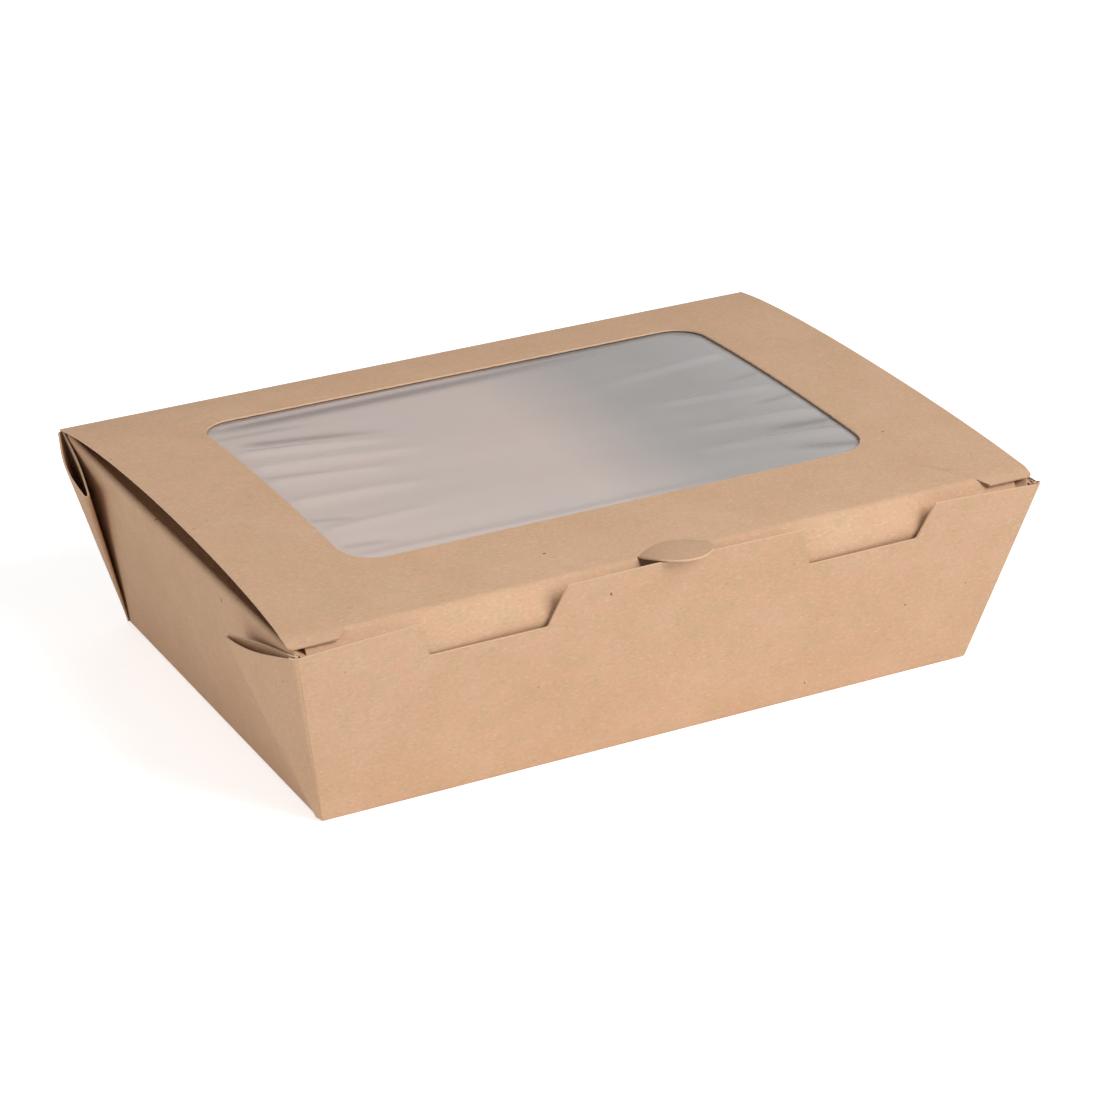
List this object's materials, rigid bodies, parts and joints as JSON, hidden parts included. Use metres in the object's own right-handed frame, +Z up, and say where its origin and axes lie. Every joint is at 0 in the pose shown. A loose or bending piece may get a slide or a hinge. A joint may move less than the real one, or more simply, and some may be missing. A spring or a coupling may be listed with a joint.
{
  "type": "salad box",
  "caption": "Tapered kraft board food box with folded web corners, a bowed tuck-in lid hinged along its back rim and a clear film window.",
  "frame": {"origin": "centre of the base's underside", "axes": "+X along the long side, +Y towards the hinged back, +Z up out of the tray"},
  "size_m": [0.2096, 0.1474, 0.0558],
  "materials": {
    "kraft_board": "matt uncoated brown kraft",
    "clear_film": "clear, slightly wrinkled film"
  },
  "bodies": {
    "tray": {"tray": "kraft_board"},
    "lid": {"lid": "kraft_board", "window_film": "clear_film"}
  },
  "joints": [
    {"name": "lid_hinge", "type": "hinge", "parent": "tray", "child": "lid", "pos_m": [0, 0.0711, 0.05083], "axis": [-1, 0, 0], "range_deg": [0, 180]}
  ]
}
